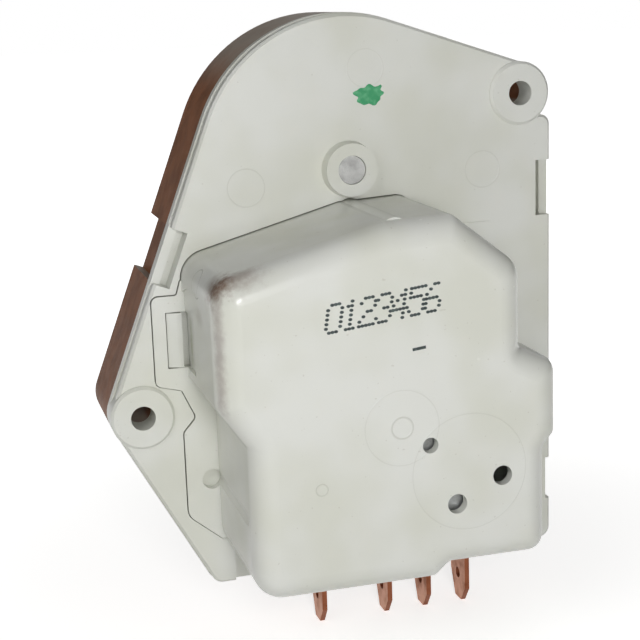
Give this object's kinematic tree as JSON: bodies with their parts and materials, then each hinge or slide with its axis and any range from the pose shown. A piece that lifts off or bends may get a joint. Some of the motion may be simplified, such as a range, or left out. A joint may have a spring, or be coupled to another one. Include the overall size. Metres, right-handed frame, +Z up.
{
  "type": "defrost timer",
  "caption": "Appliance timer: moulded housing with a synchronous motor, a gear train, a cam that works switch leaves, and blade terminals below.",
  "frame": {"origin": "midway between the two mounting holes, on the mounting face of the rear housing", "axes": "+Z up with the terminal tabs pointing down, +Y out of the mounting face, -Y out of the motor cover"},
  "size_m": [0.0708, 0.0421, 0.0972],
  "materials": {
    "white_moulding": "satin",
    "brown_moulding": "satin",
    "copper_tab": "satin",
    "steel": "brushed",
    "gear_moulding": "satin",
    "magnet": "satin",
    "bobbin_moulding": "satin",
    "winding": "satin",
    "leaf_metal": "satin",
    "contact_silver": "polished",
    "knob_moulding": "satin"
  },
  "bodies": {
    "case": {"rear_housing": "brown_moulding", "mid_cover": "white_moulding", "motor_cover": "white_moulding", "stator_cup": "steel", "stator_plate": "steel", "coil_bobbin": "bobbin_moulding", "coil_winding": "winding", "rotor_shaft": "steel", "first_gear_pin": "steel", "second_gear_pin": "steel", "terminal_motor": "copper_tab", "terminal_break": "copper_tab", "terminal_common": "copper_tab", "terminal_make": "copper_tab", "break_leaf": "leaf_metal", "make_leaf": "leaf_metal", "break_contact": "contact_silver", "make_contact": "contact_silver"},
    "rotor": {"rotor_magnet": "magnet", "rotor_hub": "gear_moulding"},
    "first_gear_set": {"first_gear": "gear_moulding"},
    "second_gear_set": {"second_gear": "gear_moulding"},
    "cam": {"cam_wheel": "gear_moulding", "cam_shaft": "steel", "advance_knob": "knob_moulding"},
    "switch_leaf": {"common_leaf": "leaf_metal", "common_contacts": "contact_silver"}
  },
  "joints": [
    {"name": "cam_turn", "type": "hinge", "parent": "case", "child": "cam", "pos_m": [0.0028, 0, 0.0125], "axis": [0, 1, 0], "continuous": true},
    {"name": "second_gear_turn", "type": "hinge", "parent": "case", "child": "second_gear_set", "pos_m": [-0.01152, 0, -0.00286], "axis": [0, 1, 0], "continuous": true},
    {"name": "first_gear_turn", "type": "hinge", "parent": "case", "child": "first_gear_set", "pos_m": [-0.01103, 0, -0.01665], "axis": [0, 1, 0], "continuous": true},
    {"name": "rotor_turn", "type": "hinge", "parent": "case", "child": "rotor", "pos_m": [0.0021, 0, -0.0209], "axis": [0, 1, 0], "continuous": true},
    {"name": "leaf_flex", "type": "hinge", "parent": "case", "child": "switch_leaf", "pos_m": [0.0136, 0, -0.032], "axis": [0, 1, 0], "range_deg": [0, 1.7], "stiffness_Nm_per_rad": 0.05}
  ],
  "couplings": [
    {"joint": "first_gear_turn", "follows": "rotor_turn", "ratio": -0.27778},
    {"joint": "second_gear_turn", "follows": "rotor_turn", "ratio": 0.07716},
    {"joint": "cam_turn", "follows": "rotor_turn", "ratio": -0.01286}
  ]
}
